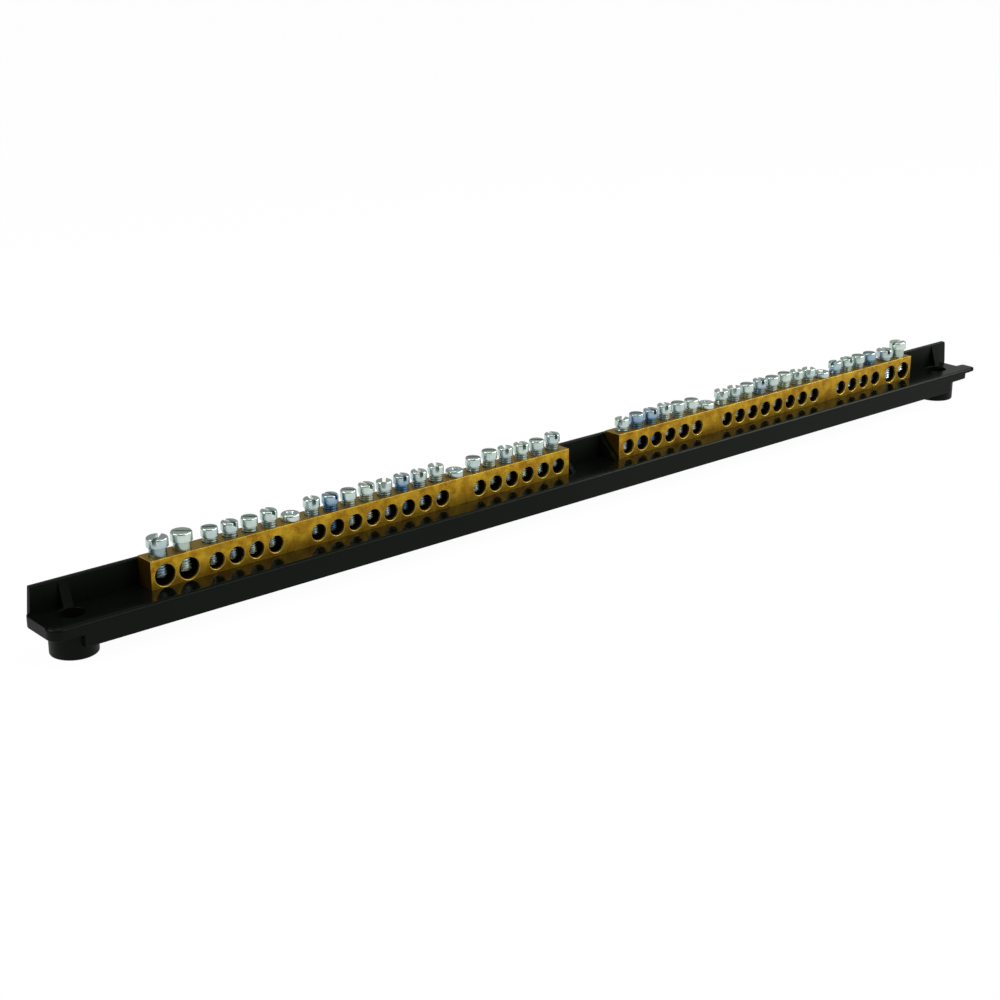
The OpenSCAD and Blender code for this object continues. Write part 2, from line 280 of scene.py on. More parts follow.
class TERMINALBAR_PG_colours(bpy.types.PropertyGroup):
    """Colours of the finishes"""

    moulding: FloatVectorProperty(
        name="Moulding",
        description="Black of the tray",
        subtype="COLOR",
        default=linear("#060806"),
    )
    moulding_gloss: FloatVectorProperty(
        name="Moulding gloss",
        description="Faint green of the tray's gloss",
        subtype="COLOR",
        default=linear("#ECFFEC"),
    )
    brass: FloatVectorProperty(
        name="Brass",
        description="Clean drawn brass",
        subtype="COLOR",
        default=linear("#C6A12D"),
    )
    tarnish: FloatVectorProperty(
        name="Tarnish",
        description="Brown bloom on the brass",
        subtype="COLOR",
        default=linear("#94681A"),
    )
    # Painted highlight: the paler brass of the eased edges and the mouths of the holes.
    highlight_brass: FloatVectorProperty(
        name="Edge highlight",
        description="Paler brass of the painted highlight on edges and hole mouths",
        subtype="COLOR",
        default=linear("#D2B456"),
    )
    # Painted shade: the darker brass of the bars' top faces.
    top_shade: FloatVectorProperty(
        name="Top face shade",
        description="Painted shade of the top face",
        subtype="COLOR",
        default=linear("#9C7F3C"),
    )
    # Painted shade: the dark brown deep in the holes and on the sawn ends.
    bore: FloatVectorProperty(
        name="Bore",
        description="Painted shade deep in the drilled holes and on the sawn ends",
        subtype="COLOR",
        default=linear("#2E1E08"),
    )
    zinc: FloatVectorProperty(
        name="Zinc",
        description="Green-grey zinc plate",
        subtype="COLOR",
        default=linear("#CDDBD1"),
    )
    blue_zinc: FloatVectorProperty(
        name="Blue zinc",
        description="Blue passivated zinc plate",
        subtype="COLOR",
        default=linear("#5F86AC"),
    )
    # Painted shade of the screws' slots, recesses and necks.
    screw_shade: FloatVectorProperty(
        name="Screw shade",
        description="Painted shade in slots, in recesses and on necks",
        subtype="COLOR",
        default=linear("#B4BEB8"),
    )
    backdrop: FloatVectorProperty(
        name="Backdrop",
        description="White of the floor and the surroundings",
        subtype="COLOR",
        default=linear("#FFFFFF"),
    )


def add(tree, kind, inputs=None, links=None, **settings):
    """Adds a node with its settings, its input values and the sockets that feed it."""
    made = tree.nodes.new(kind)
    for name, value in settings.items():
        setattr(made, name, value)
    for socket, value in (inputs or {}).items():
        made.inputs[socket].default_value = value
    for socket, source in (links or {}).items():
        tree.links.new(source, made.inputs[socket])
    return made


def opaque(colour):
    """A colour with a full alpha, as the sockets take it."""
    return (*colour, 1.0)


def empty_material(name):
    """A material whose node tree is still empty."""
    material = bpy.data.materials.new(name)
    material.use_nodes = True
    material.node_tree.nodes.clear()
    return material, material.node_tree


def brass_material(colours):
    """Drawn brass bar: pulled through a die, so fine lines run along it, with brown bloom in patches."""
    material, tree = empty_material("drawn_brass")
    coords = add(tree, "ShaderNodeTexCoord").outputs
    place = add(tree, "ShaderNodeSeparateXYZ", None, {"Vector": coords["Object"]})
    facing = add(tree, "ShaderNodeSeparateXYZ", None, {"Vector": coords["Normal"]})
    bloom = add(
        tree,
        "ShaderNodeTexNoise",
        {"Scale": 1 / (4 * MM), "Detail": 5.0, "Roughness": 0.6},
        {"Vector": coords["Object"]},
    )
    speck = add(
        tree,
        "ShaderNodeTexNoise",
        {"Scale": 1 / (0.7 * MM), "Detail": 3.0},
        {"Vector": coords["Object"]},
    )
    # The die lines are about 0.05 mm apart; they are drawn at 0.35 mm, so that they show.
    stretched = add(tree, "ShaderNodeMapping", {"Scale": (0.03, 1, 1)}, {"Vector": coords["Object"]})
    lines = add(
        tree,
        "ShaderNodeTexNoise",
        {"Scale": 1 / (0.35 * MM), "Detail": 4.0},
        {"Vector": stretched.outputs["Vector"]},
    )
    grooves = add(
        tree,
        "ShaderNodeBump",
        {"Strength": 0.25, "Distance": 0.02 * MM},
        {"Height": lines.outputs["Fac"]},
    )
    speck_weight = 0.35
    mottle = add(
        tree,
        "ShaderNodeMath",
        {1: speck_weight},
        {0: speck.outputs["Fac"], 2: bloom.outputs["Fac"]},
        operation="MULTIPLY_ADD",
    )
    share = add(
        tree,
        "ShaderNodeMapRange",
        {"From Min": 0.52, "From Max": 0.86},
        {"Value": mottle.outputs["Value"]},
    )
    tint = add(
        tree,
        "ShaderNodeMix",
        {"A": opaque(colours.brass), "B": opaque(colours.tarnish)},
        {"Factor": share.outputs["Result"]},
        data_type="RGBA",
    )
    gloss = add(
        tree,
        "ShaderNodeMapRange",
        {"From Min": 0.3, "From Max": 0.8, "To Min": 0.36, "To Max": 0.5},
        {"Value": mottle.outputs["Value"]},
    )
    # Painted shade: the top faces are mixed towards a darker brass, for the dimmer light they mirror.
    upward = add(
        tree,
        "ShaderNodeMapRange",
        {"From Min": 0.7, "From Max": 0.95, "To Max": 0.8},
        {"Value": facing.outputs["Z"]},
    )
    deck = add(
        tree,
        "ShaderNodeMix",
        {"B": opaque(colours.top_shade)},
        {"Factor": upward.outputs["Result"], "A": tint.outputs["Result"]},
        data_type="RGBA",
    )
    # Painted highlight: the eased edges and the mouths of the holes are mixed towards a paler brass, for
    # the light they catch.
    edge = add(tree, "ShaderNodeAttribute", attribute_name="edge")
    bore = add(tree, "ShaderNodeAttribute", attribute_name="bore")
    highlight_share = add(
        tree,
        "ShaderNodeMath",
        None,
        {0: edge.outputs["Fac"], 1: bore.outputs["Fac"]},
        operation="ADD",
        use_clamp=True,
    )
    broken = add(
        tree,
        "ShaderNodeMix",
        {"B": opaque(colours.highlight_brass)},
        {"Factor": highlight_share.outputs["Value"], "A": deck.outputs["Result"]},
        data_type="RGBA",
    )
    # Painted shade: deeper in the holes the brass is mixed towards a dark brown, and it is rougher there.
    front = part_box("earth_bar")[0][1]
    hole_depth = add(
        tree,
        "ShaderNodeMapRange",
        {"From Min": front + 0.3 * MM, "From Max": front + 1.2 * MM},
        {"Value": place.outputs["Y"]},
    )
    deep_in_hole = add(
        tree,
        "ShaderNodeMath",
        None,
        {0: bore.outputs["Fac"], 1: hole_depth.outputs["Result"]},
        operation="MULTIPLY",
    )
    # Painted shade: the sawn ends are mixed towards the same dark brown, for the shade on them.
    sawn = add(tree, "ShaderNodeAttribute", attribute_name="sawn")
    end_shade_weight = 0.64
    dark = add(
        tree,
        "ShaderNodeMath",
        {1: end_shade_weight},
        {0: sawn.outputs["Fac"], 2: deep_in_hole.outputs["Value"]},
        operation="MULTIPLY_ADD",
    )
    inner = add(
        tree,
        "ShaderNodeMix",
        {"B": opaque(colours.bore)},
        {"Factor": dark.outputs["Value"], "A": broken.outputs["Result"]},
        data_type="RGBA",
    )
    deep_roughness = 0.2
    dull = add(
        tree,
        "ShaderNodeMath",
        {1: deep_roughness},
        {0: deep_in_hole.outputs["Value"], 2: gloss.outputs["Result"]},
        operation="MULTIPLY_ADD",
    )
    surface = add(
        tree,
        "ShaderNodeBsdfPrincipled",
        {"Metallic": 1.0},
        {
            "Base Color": inner.outputs["Result"],
            "Roughness": dull.outputs["Value"],
            "Normal": grooves.outputs["Normal"],
        },
    )
    add(tree, "ShaderNodeOutputMaterial", None, {"Surface": surface.outputs["BSDF"]})
    return material


def zinc_material(colours):
    """Zinc plate on steel, passivated: bright and slightly cloudy, from green-grey to blue by the batch."""
    material, tree = empty_material("zinc_plate")
    coords = add(tree, "ShaderNodeTexCoord").outputs
    place = add(tree, "ShaderNodeSeparateXYZ", None, {"Vector": coords["Object"]})
    batch = add(tree, "ShaderNodeAttribute", attribute_name="plating")
    cloud = add(
        tree,
        "ShaderNodeTexNoise",
        {"Scale": 1 / (1.6 * MM), "Detail": 3.0},
        {"Vector": coords["Object"]},
    )
    # The clouds shift the shade by as much to either side.
    swing = 0.2
    shift = add(
        tree,
        "ShaderNodeMath",
        {1: 2 * swing, 2: -swing},
        {0: cloud.outputs["Fac"]},
        operation="MULTIPLY_ADD",
    )
    # The plate is mixed further towards the darker blue lower down, most on the neck.
    crown_height = 27.5 * MM
    neck_height = 23 * MM
    lower_share = add(
        tree,
        "ShaderNodeMapRange",
        {"From Min": crown_height, "From Max": neck_height, "To Min": 0.45, "To Max": 1.3},
        {"Value": place.outputs["Z"]},
    )
    share = add(
        tree,
        "ShaderNodeMath",
        None,
        {0: batch.outputs["Fac"], 1: lower_share.outputs["Result"], 2: shift.outputs["Value"]},
        operation="MULTIPLY_ADD",
        use_clamp=True,
    )
    tint = add(
        tree,
        "ShaderNodeMix",
        {"A": opaque(colours.zinc), "B": opaque(colours.blue_zinc)},
        {"Factor": share.outputs["Value"]},
        data_type="RGBA",
    )
    # Painted shade: the plate is multiplied by a darker grey inside the slots and recesses and on the necks
    # under the heads.
    corner = add(tree, "ShaderNodeAttribute", attribute_name="screw_shade")
    shaded_plate = add(
        tree,
        "ShaderNodeMix",
        {"B": opaque(colours.screw_shade)},
        {"Factor": corner.outputs["Fac"], "A": tint.outputs["Result"]},
        data_type="RGBA",
        blend_type="MULTIPLY",
    )
    gloss = add(
        tree,
        "ShaderNodeMapRange",
        {"To Min": 0.2, "To Max": 0.34},
        {"Value": cloud.outputs["Fac"]},
    )
    grain = add(
        tree,
        "ShaderNodeTexNoise",
        {"Scale": 1 / (0.3 * MM), "Detail": 2.0},
        {"Vector": coords["Object"]},
    )
    pits = add(
        tree,
        "ShaderNodeBump",
        {"Strength": 0.05, "Distance": 0.02 * MM},
        {"Height": grain.outputs["Fac"]},
    )
    surface = add(
        tree,
        "ShaderNodeBsdfPrincipled",
        {"Metallic": 1.0},
        {
            "Base Color": shaded_plate.outputs["Result"],
            "Roughness": gloss.outputs["Result"],
            "Normal": pits.outputs["Normal"],
        },
    )
    add(tree, "ShaderNodeOutputMaterial", None, {"Surface": surface.outputs["BSDF"]})
    return material


def moulding_material(colours):
    """Black moulded plastic: a polished floor that mirrors the brass, and satin sides with flow marks."""
    material, tree = empty_material("black_moulding")
    coords = add(tree, "ShaderNodeTexCoord").outputs
    facing = add(tree, "ShaderNodeSeparateXYZ", None, {"Vector": coords["Normal"]})
    haze = add(
        tree,
        "ShaderNodeTexNoise",
        {"Scale": 1 / (9 * MM), "Detail": 5.0},
        {"Vector": coords["Object"]},
    )
    ripple = add(
        tree,
        "ShaderNodeTexNoise",
        {"Scale": 1 / (5 * MM), "Detail": 1.0},
        {"Vector": coords["Object"]},
    )
    # Spark erosion leaves a grain of about 0.05 mm on the sides; it is drawn at 0.4 mm, so that it shows.
    grain = add(
        tree,
        "ShaderNodeTexNoise",
        {"Scale": 1 / (0.4 * MM), "Detail": 2.0},
        {"Vector": coords["Object"]},
    )
    satin = add(
        tree,
        "ShaderNodeMapRange",
        {"From Min": 0.5, "From Max": 0.95, "To Min": 0.4, "To Max": 0.13},
        {"Value": facing.outputs["Z"]},
    )
    haze_roughness = 0.12
    gloss = add(
        tree,
        "ShaderNodeMath",
        {1: haze_roughness},
        {0: haze.outputs["Fac"], 2: satin.outputs["Result"]},
        operation="MULTIPLY_ADD",
    )
    grain_weight = 0.3
    relief = add(
        tree,
        "ShaderNodeMath",
        {1: grain_weight},
        {0: grain.outputs["Fac"], 2: ripple.outputs["Fac"]},
        operation="MULTIPLY_ADD",
    )
    sink = add(
        tree,
        "ShaderNodeBump",
        {"Strength": 0.15, "Distance": 0.05 * MM},
        {"Height": relief.outputs["Value"]},
    )
    surface = add(
        tree,
        "ShaderNodeBsdfPrincipled",
        {
            "Base Color": opaque(colours.moulding),
            "IOR": 1.5,
            "Specular IOR Level": 0.088,
            "Specular Tint": opaque(colours.moulding_gloss),
        },
        {
            "Roughness": gloss.outputs["Value"],
            "Normal": sink.outputs["Normal"],
        },
    )
    add(tree, "ShaderNodeOutputMaterial", None, {"Surface": surface.outputs["BSDF"]})
    return material


def corners(points):
    """Lowest and highest corner of the box round some points."""
    points = list(points)
    low = Vector([min(p[i] for p in points) for i in range(3)])
    high = Vector([max(p[i] for p in points) for i in range(3)])
    return low, high


def sharp_edges(bm, degrees):
    """Edges whose two faces turn by more than an angle."""
    limit = math.radians(degrees)
    return [e for e in bm.edges if len(e.link_faces) == 2 and e.calc_face_angle(0.0) > limit]


def free_edges(bm):
    """Sharp outward edges, apart from those that run into an inside corner or a cusp."""
    # Two edges make a cusp where the cosine of the angle between them is larger than this.
    cusp = 0.75
    sharp = sharp_edges(bm, SHARP)
    blocked = {v for e in sharp if not e.is_convex for v in e.verts}
    spokes = {}
    for edge in sharp:
        for vert in edge.verts:
            spokes.setdefault(vert, []).append((edge.other_vert(vert).co - vert.co).normalized())
    for vert, ways in spokes.items():
        for i, one in enumerate(ways):
            if any(one.dot(other) > cusp for other in ways[i + 1 :]):
                blocked.add(vert)
    return [e for e in sharp if e.is_convex and not blocked.intersection(e.verts)]


def skin_edges(bm, faces):
    """Sharp edges in that many outer faces of a block: 1 for hole rims, 2 for its own edges.

    The edges round its underside are left out.
    """
    low, high = corners(v.co for v in bm.verts)
    sides = [(0, low[0]), (0, high[0]), (1, low[1]), (1, high[1]), (2, high[2])]
    found = []
    for edge in sharp_edges(bm, SHARP):
        ends = [v.co for v in edge.verts]
        shared = sum(all(abs(c[i] - level) < FLUSH for c in ends) for i, level in sides)
        if shared == faces and not all(c.z < low.z + FLUSH for c in ends):
            found.append(edge)
    return found


def ease(bm, edges, width, segments):
    """Rounds edges off by a small width."""
    bmesh.ops.bevel(
        bm,
        geom=edges,
        offset=width,
        offset_type="OFFSET",
        segments=segments,
        profile=0.5,
        affect="EDGES",
        clamp_overlap=False,
        material=-1,
    )


def shade(bm, degrees):
    """Smooth faces with a crease wherever the surface turns by more than an angle."""
    for face in bm.faces:
        face.smooth = True
    for edge in bm.edges:
        edge.smooth = True
    for edge in sharp_edges(bm, degrees):
        edge.smooth = False


def new_object(bm, name, material=None):
    """Turns a bmesh into an object in the scene."""
    mesh = bpy.data.meshes.new(name)
    bm.to_mesh(mesh)
    bm.free()
    if material:
        mesh.materials.append(material)
    made = bpy.data.objects.new(name, mesh)
    bpy.context.scene.collection.objects.link(made)
    return made


def place_piece(bm, name, material, node):
    """Makes the bmesh a piece that stands for a solid and rides with it."""
    piece = new_object(bm, name, material)
    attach(piece, "root")
    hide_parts(node)
    return piece


def even_normals(piece):
    """Flat faces keep their own direction beside eased edges."""
    flat = piece.modifiers.new("even_normals", "WEIGHTED_NORMAL")
    flat.weight = 100
    flat.keep_sharp = True


def merged_copy(node):
    """A copy of a solid as one closed mesh with whole flat faces."""
    flat = math.radians(0.2)
    bm = bmesh.new()
    bm.from_mesh(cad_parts[node].data)
    bmesh.ops.remove_doubles(bm, verts=bm.verts, dist=WELD)
    bmesh.ops.dissolve_limit(bm, angle_limit=flat, verts=bm.verts, edges=bm.edges)
    return bm


def mark_finish(bm, skin):
    """Marks a bar's faces inside its holes below a skin, on its sawn ends and on its eased edges."""
    underside = 0.05 * MM
    # A face is slanted where no part of its direction is as large as this.
    straight = 0.99
    # Share of the painted highlight on the bar's own edges.
    own_edge_highlight = 0.25
    bore = bm.faces.layers.float.new("bore")
    sawn = bm.faces.layers.float.new("sawn")
    edge = bm.faces.layers.float.new("edge")
    low, high = corners(v.co for v in bm.verts)
    for face in bm.faces:
        middle = face.calc_center_median()
        gaps = [min(middle[i] - low[i], high[i] - middle[i]) for i in (0, 1)]
        gaps.append(high.z - middle.z)
        near = sum(gap <= skin for gap in gaps)
        face[bore] = 0.0 if near or middle.z - low.z < underside else 1.0
        face[sawn] = 1.0 if gaps[0] < FLUSH else 0.0
        slanted = max(abs(c) for c in face.normal) < straight
        # The painted highlight is strongest on the rims of the cable holes and weaker on the bar's own
        # edges.
        rim = near == 1 and gaps[1] <= skin
        face[edge] = (1.0 if rim else own_edge_highlight) if slanted and near else 0.0


def standing(node):
    """Middle in X and Y, top, foot and head width of each screw in a group, from left to right."""
    bm = bmesh.new()
    bm.from_mesh(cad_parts[node].data)
    bmesh.ops.remove_doubles(bm, verts=bm.verts, dist=WELD)
    todo = set(bm.verts)
    found = []
    while todo:
        front = [todo.pop()]
        points = []
        while front:
            vert = front.pop()
            points.append(vert.co.copy())
            near = {e.other_vert(vert) for e in vert.link_edges} & todo
            todo -= near
            front.extend(near)
        low, high = corners(points)
        found.append(((low.x + high.x) / 2, (low.y + high.y) / 2, high.z, low.z, high.y - low.y))
    bm.free()
    return sorted(found)


def box_cutter(bm, size, middle, foot=1.0):
    """A block whose lower end may be narrower, for cutting slots."""
    made = bmesh.ops.create_cube(bm, size=1.0)["verts"]
    bmesh.ops.scale(bm, vec=size, verts=made)
    low = [v for v in made if v.co.z < 0]
    bmesh.ops.scale(bm, vec=(foot, foot, 1), verts=low)
    bmesh.ops.translate(bm, vec=middle, verts=made)


def cut(body, cutter):
    """Takes the cutter's blocks out of the body."""
    pair = [new_object(body, "body"), new_object(cutter, "cutter")]
    step = pair[0].modifiers.new("cut", "BOOLEAN")
    step.operation = "DIFFERENCE"
    step.solver = "EXACT"
    step.use_self = True
    step.object = pair[1]
    done = bmesh.new()
    done.from_object(pair[0], bpy.context.evaluated_depsgraph_get())
    for thing in pair:
        mesh = thing.data
        bpy.data.objects.remove(thing)
        bpy.data.meshes.remove(mesh)
    return done


def round_head(radius, height, rim, steps, rim_steps):
    """A round head on z = 0 with a rounded upper rim and a broken lower edge."""
    lower_edge = 0.1 * MM
    bm = bmesh.new()
    bmesh.ops.create_cone(
        bm,
        cap_ends=True,
        segments=steps,
        radius1=radius,
        radius2=radius,
        depth=height,
        matrix=Matrix.Translation((0, 0, height / 2)),
    )
    top = [e for e in bm.edges if all(v.co.z > height - FLUSH for v in e.verts)]
    ease(bm, top, rim, rim_steps)
    low = [e for e in bm.edges if all(v.co.z < FLUSH for v in e.verts)]
    ease(bm, low, lower_edge, 1)
    return bm


def thread(bm, radius, depth, pitch, top, bottom, steps):
    """A core with a helical ridge, chamfered at its lower end."""
    chamfer = 0.9 * MM
    core_chamfer = 0.4 * MM
    run_in = 0.15 * MM
    sunk = 0.05 * MM
    core = radius - depth
    made = bmesh.ops.create_cone(
        bm,
        cap_ends=True,
        segments=steps,
        radius1=core,
        radius2=core,
        depth=top - bottom,
        matrix=Matrix.Translation((0, 0, (top + bottom) / 2)),
    )["verts"]
    foot = [v for v in made if v.co.z < bottom + FLUSH]
    lip = [e for e in bm.edges if all(v in foot for v in e.verts)]
    ease(bm, lip, core_chamfer, 1)
    # The ridge's section: reach from the axis, and height in shares of the pitch.
    section = ((core - sunk, 0), (radius, 0.36), (radius, 0.5), (core - sunk, 0.88))
    start = bottom + run_in
    turns = max(1, int((top - start) / pitch))
    ridge = [bm.verts.new((reach, 0, start + share * pitch)) for reach, share in section]
    outline = [bm.edges.new(pair) for pair in zip(ridge, ridge[1:] + ridge[:1])]
    bmesh.ops.contextual_create(bm, geom=outline)
    last = bmesh.ops.spin(
        bm,
        geom=ridge + outline,
        cent=(0, 0, 0),
        axis=(0, 0, 1),
        dvec=(0, 0, pitch / steps),
        angle=2 * math.pi * turns,
        steps=steps * turns,
    )["geom_last"]
    bmesh.ops.contextual_create(bm, geom=[g for g in last if isinstance(g, bmesh.types.BMEdge)])
    for vert in bm.verts:
        reach = math.hypot(vert.co.x, vert.co.y)
        limit = radius - chamfer + max(0.0, vert.co.z - bottom)
        if reach > limit and vert.co.z < bottom + chamfer:
            bmesh.ops.scale(bm, vec=(limit / reach, limit / reach, 1), verts=[vert])


def mark_screw_shade(bm, radius, height):
    """Marks the faces sunk in a head, within a radius and below a height, for painted shade."""
    above_foot = 0.1 * MM
    screw_shade = bm.faces.layers.float.new("screw_shade")
    for face in bm.faces:
        middle = face.calc_center_median()
        inside = math.hypot(middle.x, middle.y) < radius and above_foot < middle.z < height
        face[screw_shade] = SLOT_SHADE if inside else 0.0


def ringed_neck(bm, radius, length, pitch, ring, steps):
    """A neck under a head at z = 0, with rings where the thread runs out, closed at both ends."""
    before = set(bm.verts)
    half = pitch / 2
    line = [(0, 2 * OVERLAP), (radius, 2 * OVERLAP)]
    line += [(radius - (ring if k % 2 else 0), -k * half) for k in range(1, int(length / half))]
    line += [(radius, -length), (0, -length)]
    side = [bm.verts.new((reach, 0, z)) for reach, z in line]
    side += [bm.edges.new(pair) for pair in zip(side, side[1:])]
    bmesh.ops.spin(
        bm,
        geom=side,
        cent=(0, 0, 0),
        axis=(0, 0, 1),
        angle=2 * math.pi,
        steps=steps,
        use_merge=True,
    )
    bmesh.ops.remove_doubles(bm, verts=[v for v in bm.verts if v not in before], dist=WELD)
    # The neck under the head gets painted shade.
    screw_shade = bm.faces.layers.float["screw_shade"]
    for face in {f for v in bm.verts if v not in before for f in v.link_faces}:
        face[screw_shade] = NECK_SHADE


def finish_screw(bm):
    """Turns a screw's faces outwards and creases its edges."""
    crease = 40
    bmesh.ops.recalc_face_normals(bm, faces=bm.faces)
    shade(bm, crease)


def clamp_screw(sizes, head_d, head_h, thread_d, pitch, length, neck, ring):
    """A slotted clamp screw with its head's underside at z = 0, its slot along X and a ringed neck."""
    slot_corner = 50
    thread_depth = 0.35 * pitch
    spare = 1 * MM
    steps = sizes.round_steps
    head = round_head(head_d / 2, head_h, sizes.clamp_rim, steps, rim_steps=4)
    tool = bmesh.new()
    deep = sizes.slot_depth
    middle = (0, 0, head_h - deep / 2 + spare / 2)
    box_cutter(tool, (2 * head_d, sizes.slot_width, deep + spare), middle)
    head = cut(head, tool)
    ease(head, sharp_edges(head, slot_corner), sizes.slot_ease, 2)
    mark_screw_shade(head, radius=head_d / 2 - 0.2 * MM, height=head_h - 0.3 * MM)
    ringed_neck(head, thread_d / 2, neck, pitch, ring, steps)
    thread(head, thread_d / 2, thread_depth, pitch, OVERLAP - neck, -length, steps // 2)
    finish_screw(head)
    return head


def fixing_screw(sizes, head_d, length):
    """A pan-head screw with a cross recess, its head's underside at z = 0."""
    recess_corner = 50
    thread_depth = 0.4 * MM
    tool_height = 2.2 * MM
    tool_sink = 0.25 * MM
    tool_taper = 0.5
    tall = sizes.fixing_head
    steps = sizes.round_steps
    head = round_head(head_d / 2, tall, sizes.fixing_rim, steps, rim_steps=5)
    tool = bmesh.new()
    middle = (0, 0, tall - tool_sink)
    for wide, deep in (
        (sizes.recess_span, sizes.recess_wing),
        (sizes.recess_wing, sizes.recess_span),
        (sizes.recess_hub, sizes.recess_hub),
    ):
        box_cutter(tool, (wide, deep, tool_height), middle, tool_taper)
    head = cut(head, tool)
    ease(head, sharp_edges(head, recess_corner), sizes.recess_ease, 2)
    mark_screw_shade(head, radius=head_d / 2 - 0.9 * MM, height=tall - 0.15 * MM)
    radius = sizes.fixing_thread / 2
    thread(head, radius, thread_depth, sizes.fixing_pitch, 2 * OVERLAP, -length, steps // 2)
    finish_screw(head)
    return head


def stand_screws(template, node, head_h, turns):
    """Copies a screw to each place of its group, turned as it was left, with its plating shade."""
    mesh = bpy.data.meshes.new("template")
    template.to_mesh(mesh)
    group = bmesh.new()
    plating = group.faces.layers.float.new("plating")
    group.faces.layers.float.new("screw_shade")
    for (x, y, top, _, _), turn, tone in zip(standing(node), turns, PLATING[node]):
        old_faces = set(group.faces)
        old_verts = set(group.verts)
        group.from_mesh(mesh)
        spot = Matrix.Translation((x, y, top - head_h)) @ Matrix.Rotation(math.radians(turn), 4, "Z")
        bmesh.ops.transform(group, matrix=spot, verts=[v for v in group.verts if v not in old_verts])
        for face in group.faces:
            if face not in old_faces:
                face[plating] = tone
    bpy.data.meshes.remove(mesh)
    return group


class TERMINALBAR_OT_tray(bpy.types.Operator):
    """Moulded tray with softened edges"""

    bl_idname = "terminalbar.tray"
    bl_label = "Moulded tray"

    def execute(self, context):
        crease = 50
        sizes = context.scene.terminalbar_sizes
        finish = moulding_material(context.scene.terminalbar_colours)
        shell = merged_copy("tray")
        ease(shell, free_edges(shell), sizes.tray_ease, 2)
        shade(shell, crease)
        even_normals(place_piece(shell, "moulded_tray", finish, "tray"))
        return {"FINISHED"}


class TERMINALBAR_OT_bars(bpy.types.Operator):
    """Two drilled brass bars with eased edges"""

    bl_idname = "terminalbar.bars"
    bl_label = "Brass bars"

    def execute(self, context):
        crease = 50
        sizes = context.scene.terminalbar_sizes
        finish = brass_material(context.scene.terminalbar_colours)
        # The skin is a little thicker than the eased edges, so that they lie in it.
        skin = 1.1 * max(sizes.brass_ease, sizes.hole_ease)
        for side in ("neutral", "earth"):
            block = merged_copy(side + "_bar")
            ease(block, skin_edges(block, 1), sizes.hole_ease, 3)
            ease(block, skin_edges(block, 2), sizes.brass_ease, 3)
            mark_finish(block, skin)
            shade(block, crease)
            even_normals(place_piece(block, side + "_brass_bar", finish, side + "_bar"))
        return {"FINISHED"}


class TERMINALBAR_OT_screws(bpy.types.Operator):
    """Clamp screws and fixing screws with threads and driver slots"""

    bl_idname = "terminalbar.screws"
    bl_label = "Plated screws"

    def execute(self, context):
        sizes = context.scene.terminalbar_sizes
        finish = zinc_material(context.scene.terminalbar_colours)
        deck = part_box("earth_bar")[1][2]
        into_bar = 0.3 * MM
        templates = {}
        for big, tall, width, pitch, ring in (
            (False, sizes.clamp_head, sizes.clamp_thread, sizes.clamp_pitch, sizes.clamp_ring),
            (True, sizes.main_head, sizes.main_thread, sizes.main_pitch, sizes.main_ring),
        ):
            placed = [spot for node in CLAMP_TURNS if ("main" in node) == big for spot in standing(node)]
            _, _, top, foot, head_d = placed[-1]
            # The neck reaches the bar even under the screw that stands out furthest.
            neck = max(spot[2] for spot in placed) - tall - deck + into_bar
            templates[big] = clamp_screw(sizes, head_d, tall, width, pitch, top - foot - tall, neck, ring)
        for node, turns in CLAMP_TURNS.items():
            big = "main" in node
            tall = sizes.main_head if big else sizes.clamp_head
            group = stand_screws(templates[big], node, tall, turns)
            place_piece(group, "threaded_" + node, finish, node)
        _, _, top, foot, head_d = standing("earth_fixing_screws")[0]
        pan = fixing_screw(sizes, head_d, top - foot - sizes.fixing_head)
        for node, turns in FIXING_TURNS.items():
            group = stand_screws(pan, node, sizes.fixing_head, turns)
            place_piece(group, "threaded_" + node, finish, node)
        for template in (*templates.values(), pan):
            template.free()
        return {"FINISHED"}


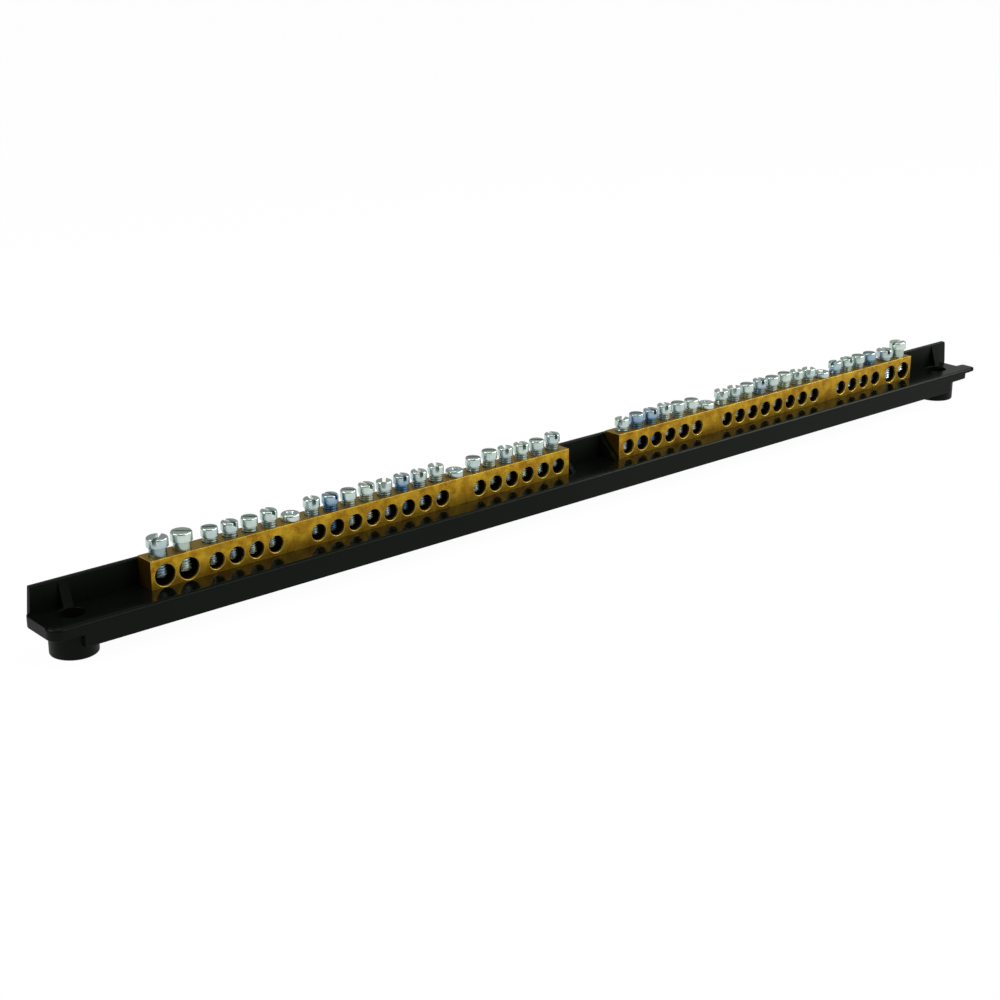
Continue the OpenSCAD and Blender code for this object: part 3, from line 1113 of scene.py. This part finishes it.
class TERMINALBAR_OT_studio(bpy.types.Operator):
    """White floor and surroundings, soft lamps and the camera"""

    bl_idname = "terminalbar.studio"
    bl_label = "Studio"

    def execute(self, context):
        scene = context.scene
        white = opaque(scene.terminalbar_colours.backdrop)
        self.floor(white)
        self.surroundings(scene, white)
        for name, (place, size, power) in LAMPS.items():
            self.lamp(scene, name, place, size, power)
        for name, (first, last, span, tone) in CARDS.items():
            self.card(name, first, last, span, tone)
        camera = bpy.data.objects.new("camera", bpy.data.cameras.new("camera"))
        camera.location = CAMERA_PLACE
        camera.rotation_euler = (math.radians(90 - CAMERA_DIP), 0, math.radians(CAMERA_HEADING))
        camera.data.sensor_width = CAMERA_SENSOR
        camera.data.lens = CAMERA_LENS
        camera.data.clip_start = 10 * MM
        scene.collection.objects.link(camera)
        scene.camera = camera
        scene.view_settings.view_transform = "Standard"
        return {"FINISHED"}

    def seen(self, tree):
        """1 for rays that show the backdrop itself: from the camera, a mirror or glass."""
        path = add(tree, "ShaderNodeLightPath").outputs
        either = add(
            tree,
            "ShaderNodeMath",
            None,
            {0: path["Is Camera Ray"], 1: path["Is Glossy Ray"]},
            operation="MAXIMUM",
        )
        return add(
            tree,
            "ShaderNodeMath",
            None,
            {0: either.outputs["Value"], 1: path["Is Transmission Ray"]},
            operation="MAXIMUM",
        ).outputs["Value"]

    def floor(self, white):
        """A white floor that shows a trace of its own shading, for the object's shadow."""
        plain_white = 0.97
        material, tree = empty_material("white_paper")
        share = add(tree, "ShaderNodeMath", {1: plain_white}, {0: self.seen(tree)}, operation="MULTIPLY")
        paper = add(tree, "ShaderNodeBsdfDiffuse", {"Color": white})
        glow = add(tree, "ShaderNodeEmission", {"Color": white, "Strength": 1.0})
        mixed = add(
            tree,
            "ShaderNodeMixShader",
            None,
            {0: share.outputs["Value"], 1: paper.outputs["BSDF"], 2: glow.outputs["Emission"]},
        )
        add(tree, "ShaderNodeOutputMaterial", None, {"Surface": mixed.outputs["Shader"]})
        bm = bmesh.new()
        bmesh.ops.create_grid(bm, x_segments=1, y_segments=1, size=FLOOR_REACH)
        new_object(bm, "floor", material)

    def surroundings(self, scene, white):
        """A white world that lights the object at half the strength at which it is seen."""
        world = bpy.data.worlds.new("surroundings")
        world.use_nodes = True
        tree = world.node_tree
        tree.nodes.clear()
        level = add(
            tree,
            "ShaderNodeMapRange",
            {"To Min": 0.5, "To Max": 1.0},
            {"Value": self.seen(tree)},
        )
        sky = add(tree, "ShaderNodeBackground", {"Color": white}, {"Strength": level.outputs["Result"]})
        add(tree, "ShaderNodeOutputWorld", None, {"Surface": sky.outputs["Background"]})
        scene.world = world

    def card(self, name, first, last, span, tone):
        """A card turned round the set between two reaches and heights, which only mirrors show."""
        material, tree = empty_material(name)
        glow = add(tree, "ShaderNodeEmission", {"Color": opaque(linear(tone)), "Strength": 1.0})
        add(tree, "ShaderNodeOutputMaterial", None, {"Surface": glow.outputs["Emission"]})
        start, stop = (math.radians(t) for t in span)
        bm = bmesh.new()
        side = [bm.verts.new((r * math.cos(start), r * math.sin(start), z)) for r, z in (first, last)]
        side.append(bm.edges.new(side))
        bmesh.ops.spin(
            bm,
            geom=side,
            cent=(0, 0, 0),
            axis=(0, 0, 1),
            angle=stop - start,
            steps=CARD_STEPS,
            use_merge=span[1] - span[0] == 360,
        )
        bmesh.ops.remove_doubles(bm, verts=bm.verts, dist=WELD)
        card = new_object(bm, name, material)
        card.visible_camera = False
        card.visible_diffuse = False
        card.visible_transmission = False
        card.visible_shadow = False

    def lamp(self, scene, name, place, size, power):
        """A rectangular soft lamp that faces the origin."""
        data = bpy.data.lights.new(name, "AREA")
        data.shape = "RECTANGLE"
        data.size, data.size_y = size
        data.energy = power
        lamp = bpy.data.objects.new(name, data)
        lamp.visible_camera = False
        lamp.location = place
        lamp.rotation_euler = (-Vector(place)).to_track_quat("-Z", "Y").to_euler()
        scene.collection.objects.link(lamp)


class TERMINALBAR_PT_panel(bpy.types.Panel):
    """Lists the pieces, sizes and colours of the terminal bar"""

    bl_idname = "TERMINALBAR_PT_panel"
    bl_label = "Terminal bar"
    bl_space_type = "VIEW_3D"
    bl_region_type = "UI"
    bl_category = "Terminal bar"

    def draw(self, context):
        for group in (context.scene.terminalbar_sizes, context.scene.terminalbar_colours):
            for name in group.__annotations__:
                self.layout.prop(group, name)
        for operator in OPERATORS:
            self.layout.operator(operator.bl_idname)


OPERATORS = (TERMINALBAR_OT_tray, TERMINALBAR_OT_bars, TERMINALBAR_OT_screws, TERMINALBAR_OT_studio)
CLASSES = (TERMINALBAR_PG_sizes, TERMINALBAR_PG_colours, *OPERATORS, TERMINALBAR_PT_panel)


def register():
    for kind in CLASSES:
        bpy.utils.register_class(kind)
    bpy.types.Scene.terminalbar_sizes = PointerProperty(type=TERMINALBAR_PG_sizes)
    bpy.types.Scene.terminalbar_colours = PointerProperty(type=TERMINALBAR_PG_colours)


def unregister():
    del bpy.types.Scene.terminalbar_colours
    del bpy.types.Scene.terminalbar_sizes
    for kind in reversed(CLASSES):
        bpy.utils.unregister_class(kind)


def main():
    register()
    bpy.ops.terminalbar.tray()
    bpy.ops.terminalbar.bars()
    bpy.ops.terminalbar.screws()
    bpy.ops.terminalbar.studio()


if __name__ == "__main__":
    main()
